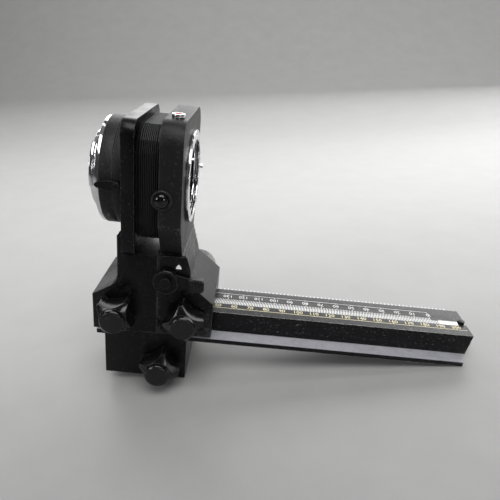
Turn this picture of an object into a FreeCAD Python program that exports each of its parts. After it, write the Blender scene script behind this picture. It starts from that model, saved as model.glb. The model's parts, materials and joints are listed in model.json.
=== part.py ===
"""Macro bellows on a geared rail, in millimetres.

A focusing stage with a tripod socket carries a dovetailed rail. A camera standard and a lens
standard ride on the rail with a pleated bellows between them. Each of the three slides has a
rack and pinion drive on the far side and a lock knob on the near side.

Frame: origin at the mouth of the tripod socket, +X towards the lens, +Y to the far side where
the drive knobs are, +Z up.
"""
import FreeCAD, Part
import math
import os
import re

import Sketcher
from FreeCAD import Rotation, Vector

SIZES = {
    # focusing stage
    "stage_length": 49.0,
    "stage_width": 49.6,
    "lip_top": 31.2,
    "lip_grip": 1.7,
    "tripod_bore": 2.55,
    "tripod_bush_radius": 4.5,
    "tripod_bush_depth": 9.0,
    # rail
    "rail_length": 230.0,
    "rail_tail": 6.5,
    "rail_top": 43.5,
    "table_half": 14.75,
    "neck_half": 11.1,
    "table_depth": 16.0,
    "flange_half": 20.0,
    "flange_thick": 3.2,
    "flange_setback": 4.0,
    "notch_length": 5.0,
    "notch_half": 2.5,
    "notch_depth": 3.5,
    # clearances
    "slide_gap": 0.15,
    "top_gap": 0.4,
    "bore_gap": 0.1,
    "bush_gap": 0.05,
    "turn_gap": 0.3,
    # racks and pinions
    "tooth_module": 0.8,
    "pinion_teeth": 12.0,
    "pinion_addendum": 0.7,
    "rack_addendum": 0.5,
    "tooth_backlash": 0.16,
    "tooth_bottom_gap": 0.2,
    "rack_inner": 13.2,
    "rack_outer": 18.5,
    "rack_base": 36.5,
    "rack_end_gap": 2.0,
    "stage_rack_inner": 4.0,
    "stage_rack_outer": 10.0,
    "stage_rack_seat": 2.0,
    # drive shafts, bushes and knobs
    "shaft_radius": 2.0,
    "bush_radius": 4.0,
    "bush_length": 6.0,
    "bush_flange_radius": 5.5,
    "bush_flange_thick": 0.9,
    "drive_knob_radius": 11.8,
    "drive_knob_length": 18.0,
    "knob_stand_off": 0.4,
    "lobe_reach": 11.8,
    "lobe_length": 8.5,
    "lobe_taper": 3.0,
    "scallop_radius": 20.0,
    "scallop_offset": 27.6,
    "cap_radius": 7.3,
    "cap_length": 3.1,
    "collar_radius": 4.2,
    "collar_length": 2.2,
    "lock_reach": 8.0,
    "pad_length": 1.85,
    "focus_axis_height": 46.5,
    "stage_axis_height": 12.5,
    "rear_axis_x": -15.65,
    "front_axis_x": 23.35,
    "stage_axis_x": 10.0,
    # carriages and their columns
    "foot_height": 31.5,
    "split_x": 6.0,
    "split_gap": 0.2,
    "rear_carriage_length": 37.0,
    "front_carriage_length": 32.7,
    "shoulder_height": 54.4,
    "shoulder_rise": 8.7,
    "column_fillet": 9.0,
    "column_top": 82.0,
    "rear_seat_thick": 4.5,
    "rear_seat_top": 92.0,
    "front_column_nose": 25.5,
    "front_crease": 24.2,
    "front_crease_rise": 3.2,
    # frames
    "axis_height": 122.5,
    "rear_frame_x": -12.0,
    "rear_frame_thick": 7.0,
    "rear_frame_half": 33.2,
    "rear_frame_rise": 34.0,
    "rear_frame_corner": 8.0,
    "front_frame_x": 7.7,
    "front_frame_thick": 12.0,
    "front_frame_half": 35.0,
    "front_frame_rise": 35.0,
    "front_frame_corner": 12.0,
    "front_taper_drop": 19.0,
    "frame_opening": 22.6,
    "clamp_opening": 21.0,
    "clamp_thick": 1.2,
    # bellows
    "bellows_half": 30.5,
    "bellows_drop": 33.0,
    "bellows_rise": 31.0,
    "bellows_wall": 7.5,
    "bellows_end_gap": 0.1,
    # camera side
    "turret_radius": 30.0,
    "turret_collar_thick": 5.5,
    "drum_length": 6.5,
    "drum_bore": 19.8,
    "spigot_radius": 22.0,
    "retainer_radius": 24.0,
    "retainer_thick": 1.4,
    "camera_flange_radius": 29.5,
    "camera_flange_thick": 2.2,
    "camera_throat": 19.5,
    "bayonet_tube_radius": 22.0,
    "bayonet_length": 4.5,
    "bayonet_tab_radius": 24.0,
    "bayonet_tab_thick": 1.6,
    "bayonet_tab_angle": 60.0,
    "mount_screw_radius": 1.3,
    # lens side
    "lens_ring_radius": 26.0,
    "lens_ring_bore": 22.3,
    "lens_ring_thick": 2.0,
    "lens_tab_bore": 20.5,
    "lens_tab_thick": 1.2,
    "lens_throat_bore": 20.0,
    "lens_throat_length": 9.3,
    "aperture_ring_bore": 20.3,
    "aperture_ring_thick": 2.0,
    "aperture_pin_radius": 0.7,
    "aperture_pin_place": 21.3,
    "lock_pin_radius": 1.25,
    "lock_pin_place": 24.15,
    "lock_pin_proud": 2.0,
    # small controls
    "button_x": 9.4,
    "button_height": 118.5,
    "button_radius": 4.0,
    "button_stem_radius": 1.3,
    "button_boss_wall": 0.9,
    "button_boss_proud": 1.2,
    "button_boss_root": 4.0,
    "button_rim": 1.3,
    "button_dome": 2.6,
    "button_travel": 2.0,
    "socket_x": 14.2,
    "socket_y": -19.0,
    "socket_radius": 3.4,
    "socket_proud": 2.2,
    "socket_bore": 1.6,
    "socket_depth": 5.5,
    "housing_thick": 2.8,
    "lever_x": 11.9,
    "lever_height": 69.0,
    "lever_hub_radius": 6.2,
    "lever_thick": 3.5,
    "lever_reach": 21.5,
    "lever_end_half": 3.5,
    "turret_lever_reach": 10.8,
    "turret_lever_thick": 1.8,
}

# Places worked out from the sizes, as expressions over the sheet's aliases.
STAGE_END = "(stage_length / 2)"
SIDE = "(stage_width / 2)"
RAIL_REAR = "(-stage_length / 2 - rail_tail)"
RAIL_FRONT = "(rail_length - stage_length / 2 - rail_tail)"
FLANGE_TOP = "(rail_top - table_depth)"
FLANGE_BASE = "(rail_top - table_depth - flange_thick)"
WALL_SLOPE = "((table_half - neck_half) / table_depth)"
NECK_AT_FOOT = f"(table_half - (rail_top - foot_height) * {WALL_SLOPE})"
NECK_AT_RACK = f"(table_half - (rail_top - rack_base) * {WALL_SLOPE})"
PITCH_RADIUS = "(tooth_module * pinion_teeth / 2)"
RACK_TIP = f"(focus_axis_height - {PITCH_RADIUS} + rack_addendum)"
STAGE_RACK_TIP = f"(stage_axis_height + {PITCH_RADIUS} - rack_addendum)"
REAR_BACK = "(split_x - split_gap / 2 - rear_carriage_length)"
REAR_TOP = "(axis_height + rear_frame_rise)"
FRONT_TOP = "(axis_height + front_frame_rise)"
TAPER_TOP = "(axis_height - front_taper_drop)"
REAR_NOSE = "(split_x - split_gap / 2)"
FRONT_BACK = "(split_x + split_gap / 2)"
FRONT_NOSE = "(split_x + split_gap / 2 + front_carriage_length)"
REAR_COLUMN = "(rear_frame_x - rear_seat_thick)"
REAR_FRAME_FACE = "(rear_frame_x + rear_frame_thick)"
FRONT_FRAME_FACE = "(front_frame_x + front_frame_thick)"
DRUM_FRONT = "(rear_frame_x - turret_collar_thick - turn_gap)"
DRUM_REAR = f"({DRUM_FRONT} - drum_length)"
CAMERA_FLANGE = f"({DRUM_REAR} - camera_flange_thick)"
HOUSING_FACE = f"(-{SIDE} - housing_thick)"

AXES = {
    "+X": Rotation(Vector(0, 0, 1), Vector(1, 0, 0)),
    "-X": Rotation(Vector(0, 0, 1), Vector(-1, 0, 0)),
    "+Y": Rotation(Vector(0, 0, 1), Vector(0, 1, 0)),
    "-Y": Rotation(Vector(0, 0, 1), Vector(0, -1, 0)),
    "+Z": Rotation(),
}
PLANES = {
    # plane: (sketch u axis, sketch v axis, extrusion direction)
    "YZ": (Vector(0, 1, 0), Vector(0, 0, 1), Vector(1, 0, 0)),
    "XZ": (Vector(1, 0, 0), Vector(0, 0, 1), Vector(0, 1, 0)),
}

doc = FreeCAD.newDocument("macro_bellows")
sheet = doc.addObject("Spreadsheet::Sheet", "sizes")
for row, (alias, size) in enumerate(SIZES.items(), start=1):
    sheet.set(f"A{row}", alias)
    sheet.set(f"B{row}", str(size))
    sheet.setAlias(f"B{row}", alias)
doc.recompute()
nodes = []


# ---------------------------------------------------------------- helpers
def with_sheet(text):
    """Turn a formula over plain aliases into an expression that reads the sheet."""
    return re.sub(r"[a-z][a-z_]*", lambda m: "sizes." + m.group() if m.group() in SIZES else m.group(), text)


def number(text):
    """The present value of a formula over the sheet's aliases."""
    return float(sheet.evalExpression(with_sheet(text)))


def bind(obj, **formulas):
    for prop, text in formulas.items():
        obj.setExpression(prop, with_sheet(text))


def move(obj, x, y, z):
    for axis, text in zip("xyz", (x, y, z)):
        obj.setExpression(f"Placement.Base.{axis}", with_sheet(text))


def box(label, x, y, z, length, width, height):
    """A block from its low corner."""
    obj = doc.addObject("Part::Box", label)
    bind(obj, Length=length, Width=width, Height=height)
    move(obj, x, y, z)
    return obj


def rod(label, axis, x, y, z, radius, length, angle="360"):
    """A cylinder, or a sector of one, from its start point along an axis."""
    obj = doc.addObject("Part::Cylinder", label)
    obj.Placement.Rotation = AXES[axis]
    bind(obj, Radius=radius, Height=length, Angle=angle)
    move(obj, x, y, z)
    return obj


def taper(label, axis, x, y, z, radius_start, radius_end, length):
    obj = doc.addObject("Part::Cone", label)
    obj.Placement.Rotation = AXES[axis]
    bind(obj, Radius1=radius_start, Radius2=radius_end, Height=length)
    move(obj, x, y, z)
    return obj


def prism(label, plane, corners, start, length):
    """Extrude a closed outline, every corner held by two dimensions bound to the sheet."""
    u_axis, v_axis, direction = PLANES[plane]
    sketch = doc.addObject("Sketcher::SketchObject", label + "_outline")
    sketch.Placement.Rotation = Rotation(u_axis, v_axis, u_axis.cross(v_axis), "ZXY")
    offset = "Placement.Base.x" if plane == "YZ" else "Placement.Base.y"
    sketch.setExpression(offset, with_sheet(start))
    points = [Vector(number(u), number(v), 0) for u, v in corners]
    count = len(points)
    for index in range(count):
        sketch.addGeometry(Part.LineSegment(points[index], points[(index + 1) % count]), False)
    for index in range(count):
        sketch.addConstraint(Sketcher.Constraint("Coincident", index, 2, (index + 1) % count, 1))
    for index, corner in enumerate(corners):
        for kind, text in zip(("DistanceX", "DistanceY"), corner):
            place = sketch.addConstraint(Sketcher.Constraint(kind, -1, 1, index, 1, number(text)))
            sketch.setExpression(f"Constraints[{place}]", with_sheet(text))
    solid = doc.addObject("Part::Extrusion", label)
    solid.Base = sketch
    solid.DirMode = "Custom"
    solid.Dir = direction
    solid.Solid = True
    bind(solid, LengthFwd=length)
    return solid


def joined(label, *pieces):
    obj = doc.addObject("Part::MultiFuse", label)
    obj.Shapes = list(pieces)
    return obj


def carved(label, base, *tools):
    obj = doc.addObject("Part::Cut", label)
    obj.Base = base
    obj.Tool = tools[0] if len(tools) == 1 else joined(label + "_cuts", *tools)
    return obj


def shared(label, first, second):
    obj = doc.addObject("Part::Common", label)
    obj.Base = first
    obj.Tool = second
    return obj


def rounded(label, base, radius, chosen):
    """Fillet the edges of base that chosen(edge) picks, at a radius read from the sheet."""
    doc.recompute()
    size = number(radius)
    obj = doc.addObject("Part::Fillet", label)
    obj.Base = base
    obj.Edges = [(i, size, size) for i, edge in enumerate(base.Shape.Edges, start=1) if chosen(edge)]
    return obj


def node(label, obj):
    """Name a finished piece; its label is its file name."""
    obj.Label = label
    nodes.append(obj)
    return obj


def solid_node(label, shape):
    """A piece whose outline is a formula, kept as a plain feature."""
    obj = doc.addObject("Part::Feature", label)
    obj.Shape = shape
    return node(label, obj)


def ring(label, axis, x, z, outer, inner, length, y="0"):
    return carved(label, rod(label + "_outer", axis, x, y, z, outer, length),
                  rod(label + "_inner", axis, x, y, z, inner, length))


def runs_along(edge, axis):
    """True for a straight edge parallel to an axis."""
    if not isinstance(edge.Curve, Part.Line):
        return False
    return abs(abs(edge.Curve.Direction.dot(axis)) - 1) < 1e-6


def near(value, text):
    return abs(value - number(text)) < 1e-3


# ---------------------------------------------------------------- racks and pinions
def tooth_numbers():
    module = number("tooth_module")
    return module, math.pi * module, number(PITCH_RADIUS)


def rack_shape(start, end, pitch_line, back, low_y, high_y, gap_at):
    """A straight rack. Its teeth point from back towards the pitch line, with a gap at gap_at."""
    module, pitch, _ = tooth_numbers()
    point = 1 if pitch_line > back else -1
    tip = pitch_line + point * number("rack_addendum")
    root = pitch_line - point * number("pinion_addendum + tooth_bottom_gap")
    slope = math.tan(math.radians(20))
    half_pitch_line = pitch / 4 - number("tooth_backlash") / 2
    half_tip = half_pitch_line - number("rack_addendum") * slope
    half_root = half_pitch_line + number("pinion_addendum + tooth_bottom_gap") * slope
    outline = [(start, back), (start, root)]
    tooth = gap_at + pitch / 2 + math.ceil((start - gap_at) / pitch) * pitch
    while tooth + half_root < end:
        outline += [(tooth - half_root, root), (tooth - half_tip, tip)]
        outline += [(tooth + half_tip, tip), (tooth + half_root, root)]
        tooth += pitch
    outline += [(end, root), (end, back)]
    corners = [Vector(x, low_y, z) for x, z in outline]
    face = Part.Face(Part.makePolygon(corners + corners[:1]))
    return face.extrude(Vector(0, high_y - low_y, 0))


def pinion_shape(x, z, low_y, high_y, tooth_towards):
    """An involute pinion about +Y. tooth_towards is one tooth's direction, in radians from +X to +Z."""
    module, pitch, pitch_radius = tooth_numbers()
    teeth = round(number("pinion_teeth"))
    pressure = math.radians(20)
    base = pitch_radius * math.cos(pressure)
    tip = pitch_radius + number("pinion_addendum")
    root = pitch_radius - number("rack_addendum + tooth_bottom_gap")
    half_at_base = math.pi / (2 * teeth) + math.tan(pressure) - pressure
    half_at_base -= number("tooth_backlash") / (2 * pitch_radius)
    flank = []
    for step in range(6):
        radius = base + (tip - base) * step / 5
        angle = math.acos(base / radius)
        flank.append((radius, half_at_base - (math.tan(angle) - angle)))
    flank.insert(0, (root, half_at_base))
    outline = []
    for index in range(teeth):
        middle = tooth_towards + 2 * math.pi * index / teeth
        outline += [(r, middle - half) for r, half in flank]
        outline += [(r, middle + half) for r, half in reversed(flank)]
    corners = [Vector(x + r * math.cos(a), low_y, z + r * math.sin(a)) for r, a in outline]
    face = Part.Face(Part.makePolygon(corners + corners[:1]))
    gear = face.extrude(Vector(0, high_y - low_y, 0))
    shaft = Part.makeCylinder(number("shaft_radius"), high_y - low_y, Vector(x, low_y, z), Vector(0, 1, 0))
    return gear.cut(shaft)


def tooth_direction(axis_x, gap_at, towards_rack):
    """Direction of the pinion tooth that fills the rack gap nearest to its axis."""
    _, pitch, pitch_radius = tooth_numbers()
    shift = (gap_at - axis_x + pitch / 2) % pitch - pitch / 2
    return towards_rack * (math.pi / 2 - shift / pitch_radius)


# ---------------------------------------------------------------- drives and locks
PINION_RIM = f"({PITCH_RADIUS} + pinion_addendum + turn_gap)"


def drive(name, axis_x, height, pinion_low, pinion_high, gap_at, towards_rack):
    """Pinion, shaft, bush and drive knob of one slide, on the far side."""
    shaft_start = f"(-{SIDE} + lock_reach + pad_length + 2 * slide_gap)"
    knob_face = f"({SIDE} + bush_flange_thick + knob_stand_off)"
    shaft_length = f"({knob_face} + drive_knob_length * 0.6 - {shaft_start})"
    node(f"{name}_shaft", rod(f"{name}_shaft", "+Y", axis_x, shaft_start, height,
                              "shaft_radius", shaft_length))
    direction = tooth_direction(number(axis_x), gap_at, towards_rack)
    solid_node(f"{name}_pinion", pinion_shape(number(axis_x), number(height), number(pinion_low),
                                              number(pinion_high), direction))
    sleeve = rod(f"{name}_bush_sleeve", "+Y", axis_x, f"{SIDE} - bush_length", height,
                 "bush_radius", "bush_length")
    flange = rod(f"{name}_bush_flange", "+Y", axis_x, SIDE, height, "bush_flange_radius", "bush_flange_thick")
    bore = rod(f"{name}_bush_bore", "+Y", axis_x, f"{SIDE} - bush_length - 1", height,
               "shaft_radius + bush_gap", "bush_length + bush_flange_thick + 2")
    node(f"{name}_bush", carved(f"{name}_bush", joined(f"{name}_bush_body", sleeve, flange), bore))
    body = rod(f"{name}_grip", "+Y", axis_x, f"{knob_face} + 1.5", height, "drive_knob_radius",
               "drive_knob_length - 3")
    inner = taper(f"{name}_grip_inner", "+Y", axis_x, knob_face, height, "drive_knob_radius - 2.5",
                  "drive_knob_radius", "1.5")
    outer = taper(f"{name}_grip_outer", "+Y", axis_x, f"{knob_face} + drive_knob_length - 1.5", height,
                  "drive_knob_radius", "drive_knob_radius - 1.2", "1.5")
    dish = rod(f"{name}_dish", "+Y", axis_x, f"{knob_face} + drive_knob_length - 1", height,
               "drive_knob_radius - 4", "2")
    socket = rod(f"{name}_knob_bore", "+Y", axis_x, f"{knob_face} - 1", height, "shaft_radius",
                 "drive_knob_length * 0.6 + 1")
    node(f"{name}_drive_knob", carved(f"{name}_drive_knob", joined(f"{name}_knob_body", body, inner, outer),
                                      dish, socket))


def drive_room(name, axis_x, height, pinion_low, pinion_high):
    """The bores and the pinion pocket that a drive needs in its carriage."""
    through = rod(f"{name}_through", "+Y", axis_x, f"-{SIDE} - 1", height, "shaft_radius + bore_gap",
                  "stage_width")
    seat = rod(f"{name}_bush_seat", "+Y", axis_x, f"{SIDE} - bush_length", height, "bush_radius",
               "bush_length + 1")
    pocket = rod(f"{name}_pocket", "+Y", axis_x, f"{pinion_low} - turn_gap", height, PINION_RIM,
                 f"{pinion_high} - {pinion_low} + 2 * turn_gap")
    return [through, seat, pocket]


def lock(name, axis_x, height, first_lobe):
    """Lock screw, four-lobed lock knob and brass pad of one slide, on the near side."""
    collar_face = f"(-{SIDE} - turn_gap)"
    knob_face = f"({collar_face} - collar_length)"
    stud = rod(f"{name}_stud", "-Y", axis_x, f"-{SIDE} + lock_reach", height, "shaft_radius",
               "lock_reach + turn_gap + collar_length + lobe_length")
    collar = rod(f"{name}_collar", "-Y", axis_x, collar_face, height, "collar_radius", "collar_length")
    node(f"{name}_lock_screw", joined(f"{name}_lock_screw", stud, collar))
    node(f"{name}_lock_pad", rod(f"{name}_lock_pad", "+Y", axis_x, f"-{SIDE} + lock_reach + slide_gap",
                                 height, "shaft_radius", "pad_length"))
    lobes = rod(f"{name}_lobes", "-Y", axis_x, knob_face, height, "lobe_reach", "lobe_length")
    cone = taper(f"{name}_cone", "-Y", axis_x, f"{knob_face} - lobe_length", height, "lobe_reach",
                 "cap_radius + 0.3", "lobe_taper")
    cap = rod(f"{name}_cap", "-Y", axis_x, f"{knob_face} - lobe_length - lobe_taper", height,
              "cap_radius", "cap_length - 0.8")
    brow = taper(f"{name}_brow", "-Y", axis_x,
                 f"{knob_face} - lobe_length - lobe_taper - cap_length + 0.8", height,
                 "cap_radius", "cap_radius - 0.8", "0.8")
    scallops = []
    for turn in range(4):
        angle = math.radians(first_lobe + 45 + 90 * turn)
        side_x = f"{axis_x} + scallop_offset * {math.cos(angle):.6f}"
        side_z = f"{height} + scallop_offset * {math.sin(angle):.6f}"
        scallops.append(rod(f"{name}_scallop_{turn}", "-Y", side_x, f"{knob_face} + 1", side_z,
                            "scallop_radius", "lobe_length + lobe_taper + 1"))
    socket = rod(f"{name}_lock_bore", "-Y", axis_x, f"{knob_face} + 1", height, "shaft_radius",
                 "lobe_length + 1")
    node(f"{name}_lock_knob", carved(f"{name}_lock_knob", joined(f"{name}_lock_body", lobes, cone, cap, brow),
                                     socket, *scallops))


# ---------------------------------------------------------------- focusing stage
def make_stage():
    block = box("stage_blank", f"-{STAGE_END}", f"-{SIDE}", "0", "stage_length", "stage_width", "lip_top")
    run = "stage_length + 2"
    start = f"-{STAGE_END} - 1"
    channel = box("stage_channel", start, "-flange_half - slide_gap", f"{FLANGE_BASE} - slide_gap", run,
                  "2 * flange_half + 2 * slide_gap", "flange_thick + 2 * slide_gap")
    mouth = box("stage_mouth", start, "-flange_half + lip_grip", f"{FLANGE_BASE}", run,
                "2 * flange_half - 2 * lip_grip", f"lip_top - {FLANGE_BASE} + 1")
    trough = box("stage_trough", start, "stage_rack_inner - top_gap", f"{STAGE_RACK_TIP} - top_gap", run,
                 "stage_rack_outer - stage_rack_inner + 2 * top_gap",
                 f"{FLANGE_BASE} - {STAGE_RACK_TIP} + top_gap")
    socket = rod("stage_bush_hole", "+Z", "0", "0", "-1", "tripod_bush_radius", "tripod_bush_depth + 1")
    room = drive_room("stage", "stage_axis_x", "stage_axis_height", "stage_rack_inner + turn_gap",
                      "stage_rack_outer - turn_gap")
    node("stage_block", carved("stage_block", block, channel, mouth, trough, socket, *room))
    node("tripod_bush", ring("tripod_bush", "+Z", "0", "0", "tripod_bush_radius", "tripod_bore",
                             "tripod_bush_depth"))


# ---------------------------------------------------------------- rail
def make_rail(gap_at):
    table = prism("rail_table", "YZ", [
        (f"-neck_half", FLANGE_TOP), (f"-table_half", "rail_top"),
        (f"table_half", "rail_top"), (f"neck_half", FLANGE_TOP)], RAIL_REAR, "rail_length")
    flange = prism("rail_flange", "YZ", [
        ("-flange_half", FLANGE_BASE), ("-flange_half", FLANGE_TOP),
        ("flange_half", FLANGE_TOP), ("flange_half", FLANGE_BASE)], RAIL_REAR, "rail_length - flange_setback")
    rebate = box("rail_rebate", f"{RAIL_REAR} - 1", "rack_inner", "rack_base", "rail_length + 2",
                 "table_half - rack_inner + 1", f"{RACK_TIP} + slide_gap - rack_base")
    seat = box("rail_rack_seat", f"{RAIL_REAR} - 1", "stage_rack_inner", f"{FLANGE_BASE} - 1",
               "rail_length + 2", "stage_rack_outer - stage_rack_inner", "stage_rack_seat + 1")
    notch = box("rail_notch", f"{RAIL_FRONT} - notch_length", "-notch_half", "rail_top - notch_depth",
                "notch_length + 1", "2 * notch_half", "notch_depth + 1")
    stop_hole = rod("rail_stop_hole", "+Z", f"{RAIL_FRONT} - notch_length / 2", "0",
                    "rail_top - notch_depth - 4", "0.9", "5")
    holes = [rod(f"rail_end_hole_{side}", "-X", f"{RAIL_FRONT} + 1", y, f"{FLANGE_TOP} + 8", "1.1", "9")
             for side, y in (("near", "-neck_half + 1.5"), ("far", "neck_half - 1.5"))]
    node("rail", carved("rail", joined("rail_blank", table, flange), rebate, seat, notch, stop_hole, *holes))

    stop_stem = rod("end_stop_stem", "+Z", f"{RAIL_FRONT} - notch_length / 2", "0",
                    "rail_top - notch_depth - 3.5", "0.9", "3.5")
    stop_head = rod("end_stop_head", "+Z", f"{RAIL_FRONT} - notch_length / 2", "0",
                    "rail_top - notch_depth", "1.9", "notch_depth + 1.4")
    node("end_stop", joined("end_stop", stop_stem, stop_head))
    screws = []
    for side, y in (("near", "-neck_half + 1.5"), ("far", "neck_half - 1.5")):
        screws.append(rod(f"end_screw_stem_{side}", "-X", RAIL_FRONT, y, f"{FLANGE_TOP} + 8", "1.1", "7"))
        screws.append(rod(f"end_screw_head_{side}", "+X", RAIL_FRONT, y, f"{FLANGE_TOP} + 8", "2.1", "1.3"))
    node("rail_end_screws", joined("rail_end_screws", *screws))

    rack_start = number(f"{RAIL_REAR} + rack_end_gap")
    rack_end = number(f"{RAIL_FRONT} - flange_setback - rack_end_gap")
    solid_node("focus_rack", rack_shape(rack_start, rack_end, number(f"focus_axis_height - {PITCH_RADIUS}"),
                                        number("rack_base"), number("rack_inner"), number("rack_outer"),
                                        gap_at))
    solid_node("stage_rack", rack_shape(rack_start, rack_end, number(f"stage_axis_height + {PITCH_RADIUS}"),
                                        number(f"{FLANGE_BASE} + stage_rack_seat"),
                                        number("stage_rack_inner"), number("stage_rack_outer"), gap_at))


# ---------------------------------------------------------------- carriages
def slot(label, back, nose):
    """The dovetail slot of a carriage: hooked under the rail on the near side, under the rack on the far."""
    return prism(label, "YZ", [
        (f"-{NECK_AT_FOOT} - slide_gap", "foot_height - 1"),
        (f"-{NECK_AT_FOOT} - slide_gap", "foot_height"),
        ("-table_half - slide_gap", "rail_top"),
        ("-table_half - slide_gap", "rail_top + top_gap"),
        ("rack_outer + turn_gap", "rail_top + top_gap"),
        ("rack_outer + turn_gap", "rack_base - slide_gap"),
        (f"{NECK_AT_RACK} + slide_gap", "rack_base - slide_gap"),
        (f"{NECK_AT_FOOT} + slide_gap", "foot_height"),
        (f"{NECK_AT_FOOT} + slide_gap", "foot_height - 1")],
        f"{back} - 1", f"{nose} - {back} + 2")


def make_rear_carriage():
    slope_end = "shoulder_height + shoulder_rise"
    blank = prism("rear_blank", "XZ", [
        (REAR_BACK, "foot_height"), (REAR_BACK, "shoulder_height"), (REAR_COLUMN, slope_end),
        (REAR_COLUMN, "rear_seat_top"), ("rear_frame_x - 0.1", "rear_seat_top"),
        ("rear_frame_x - 0.1", "column_top"), (REAR_NOSE, "column_top"), (REAR_NOSE, "foot_height")],
        f"-{SIDE}", "stage_width")
    casting = rounded("rear_casting", blank, "column_fillet", lambda edge: runs_along(edge, Vector(0, 1, 0))
                      and near(edge.CenterOfMass.x, REAR_COLUMN) and near(edge.CenterOfMass.z, slope_end))
    room = drive_room("rear", "rear_axis_x", "focus_axis_height", PINION_LOW, PINION_HIGH)
    holes = [rod(f"rear_seat_hole_{side}", "+X", f"{REAR_COLUMN} - 1", y, "rear_seat_top - 5", "1.5", "8")
             for side, y in (("near", "-14"), ("far", "14"))]
    node("rear_carriage", carved("rear_carriage", casting, slot("rear_slot", REAR_BACK, REAR_NOSE),
                                 *room, *holes))


def make_front_carriage():
    blank = prism("front_blank", "XZ", [
        (FRONT_BACK, "foot_height"), (FRONT_BACK, "column_top + 2"), (FRONT_FRAME_FACE, "column_top + 2"),
        ("front_crease", "shoulder_height + shoulder_rise + front_crease_rise"), (FRONT_NOSE, "shoulder_height"),
        (FRONT_NOSE, "foot_height")], f"-{SIDE}", "stage_width")
    room = drive_room("front", "front_axis_x", "focus_axis_height", PINION_LOW, PINION_HIGH)
    lever_hole = rod("front_lever_hole", "+Y", "lever_x", f"-{SIDE} - 1", "lever_height", "1.5", "7")
    node("front_carriage", carved("front_carriage", blank, slot("front_slot", FRONT_BACK, FRONT_NOSE),
                                  *room, lever_hole))


# ---------------------------------------------------------------- frames and bellows
def make_rear_frame():
    plate = box("rear_plate", "rear_frame_x", "-rear_frame_half", "column_top", "rear_frame_thick",
                "2 * rear_frame_half", f"{REAR_TOP} - column_top")
    shaped = rounded("rear_plate_rounded", plate, "rear_frame_corner",
                     lambda edge: runs_along(edge, Vector(1, 0, 0)))
    opening = rod("rear_opening", "+X", "rear_frame_x - 1", "0", "axis_height", "spigot_radius + turn_gap",
                  "rear_frame_thick + 2")
    recess = rod("rear_recess", "+X", f"{REAR_FRAME_FACE} - retainer_thick - turn_gap", "0", "axis_height",
                 "retainer_radius + turn_gap", "retainer_thick + turn_gap + 1")
    holes = [rod(f"rear_frame_hole_{side}", "+X", "rear_frame_x - 1", y, "rear_seat_top - 5", "1.5", "5")
             for side, y in (("near", "-14"), ("far", "14"))]
    node("rear_frame", carved("rear_frame", shaped, opening, recess, *holes))
    screws = []
    for side, y in (("near", "-14"), ("far", "14")):
        screws.append(rod(f"seat_screw_stem_{side}", "+X", REAR_COLUMN, y, "rear_seat_top - 5", "1.5",
                          "rear_seat_thick + 4"))
        screws.append(rod(f"seat_screw_head_{side}", "-X", REAR_COLUMN, y, "rear_seat_top - 5", "2.8", "1.6"))
    node("rear_frame_screws", joined("rear_frame_screws", *screws))


def make_front_frame():
    plate = prism("front_plate", "YZ", [
        (f"-{SIDE}", "column_top + 2"), ("-front_frame_half", TAPER_TOP),
        ("-front_frame_half", FRONT_TOP), ("front_frame_half", FRONT_TOP),
        ("front_frame_half", TAPER_TOP), (SIDE, "column_top + 2")],
        "front_frame_x", "front_frame_thick")
    shaped = rounded("front_plate_rounded", plate, "front_frame_corner",
                     lambda edge: runs_along(edge, Vector(1, 0, 0))
                     and near(edge.CenterOfMass.z, FRONT_TOP))
    boss = rod("front_button_boss", "-Y", "button_x", "-front_frame_half + button_boss_root",
               "button_height", "button_radius + turn_gap + button_boss_wall",
               "button_boss_root + button_boss_proud")
    opening = rod("front_opening", "+X", "front_frame_x - 1", "0", "axis_height", "frame_opening",
                  "front_frame_thick + 2")
    pin_hole = rod("front_pin_hole", "+X", "front_frame_x - 1", "lock_pin_place", "axis_height",
                   "lock_pin_radius + bore_gap", "front_frame_thick + 2")
    button_bore = rod("front_button_bore", "+Y", "button_x", "-front_frame_half - 2", "button_height",
                      "button_stem_radius + bore_gap", "front_frame_half - frame_opening + 1.5")
    button_well = rod("front_button_well", "+Y", "button_x", "-front_frame_half - 2", "button_height",
                      "button_radius + turn_gap", "button_travel + 2.6")
    socket_hole = rod("front_socket_hole", "+Z", "socket_x", "socket_y", f"{FRONT_TOP} - socket_depth",
                      "socket_radius - 0.6", "socket_depth + 1")
    node("front_frame", carved("front_frame", joined("front_frame_boss", shaped, boss), opening, pin_hole,
                               button_bore, button_well, socket_hole))


def make_bellows():
    length = f"(front_frame_x - {REAR_FRAME_FACE} - 2 * bellows_end_gap)"
    start = f"({REAR_FRAME_FACE} + bellows_end_gap)"
    chamfer = "bellows_wall"
    low = "(axis_height - bellows_drop)"
    high = "(axis_height + bellows_rise)"
    outside = prism("bellows_outside", "YZ", [
        (f"-bellows_half + {chamfer}", low), ("-bellows_half", f"{low} + {chamfer}"),
        ("-bellows_half", f"{high} - {chamfer}"), (f"-bellows_half + {chamfer}", high),
        (f"bellows_half - {chamfer}", high), ("bellows_half", f"{high} - {chamfer}"),
        ("bellows_half", f"{low} + {chamfer}"), (f"bellows_half - {chamfer}", low)], start, length)
    inside = box("bellows_inside", f"{start} - 1", "-bellows_half + bellows_wall", f"{low} + bellows_wall",
                 f"{length} + 2", "2 * bellows_half - 2 * bellows_wall",
                 "bellows_rise + bellows_drop - 2 * bellows_wall")
    node("bellows", carved("bellows", outside, inside))
    for side, x in (("rear", REAR_FRAME_FACE), ("front", "front_frame_x - clamp_thick")):
        half = "(bellows_half - bellows_wall - turn_gap)"
        plate = box(f"{side}_clamp_plate", x, f"-{half}", f"axis_height - {half}", "clamp_thick",
                    f"2 * {half}", f"2 * {half}")
        hole = rod(f"{side}_clamp_hole", "+X", f"{x} - 1", "0", "axis_height", "clamp_opening",
                   "clamp_thick + 2")
        node(f"bellows_{side}_clamp", carved(f"bellows_{side}_clamp", plate, hole))


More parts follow.
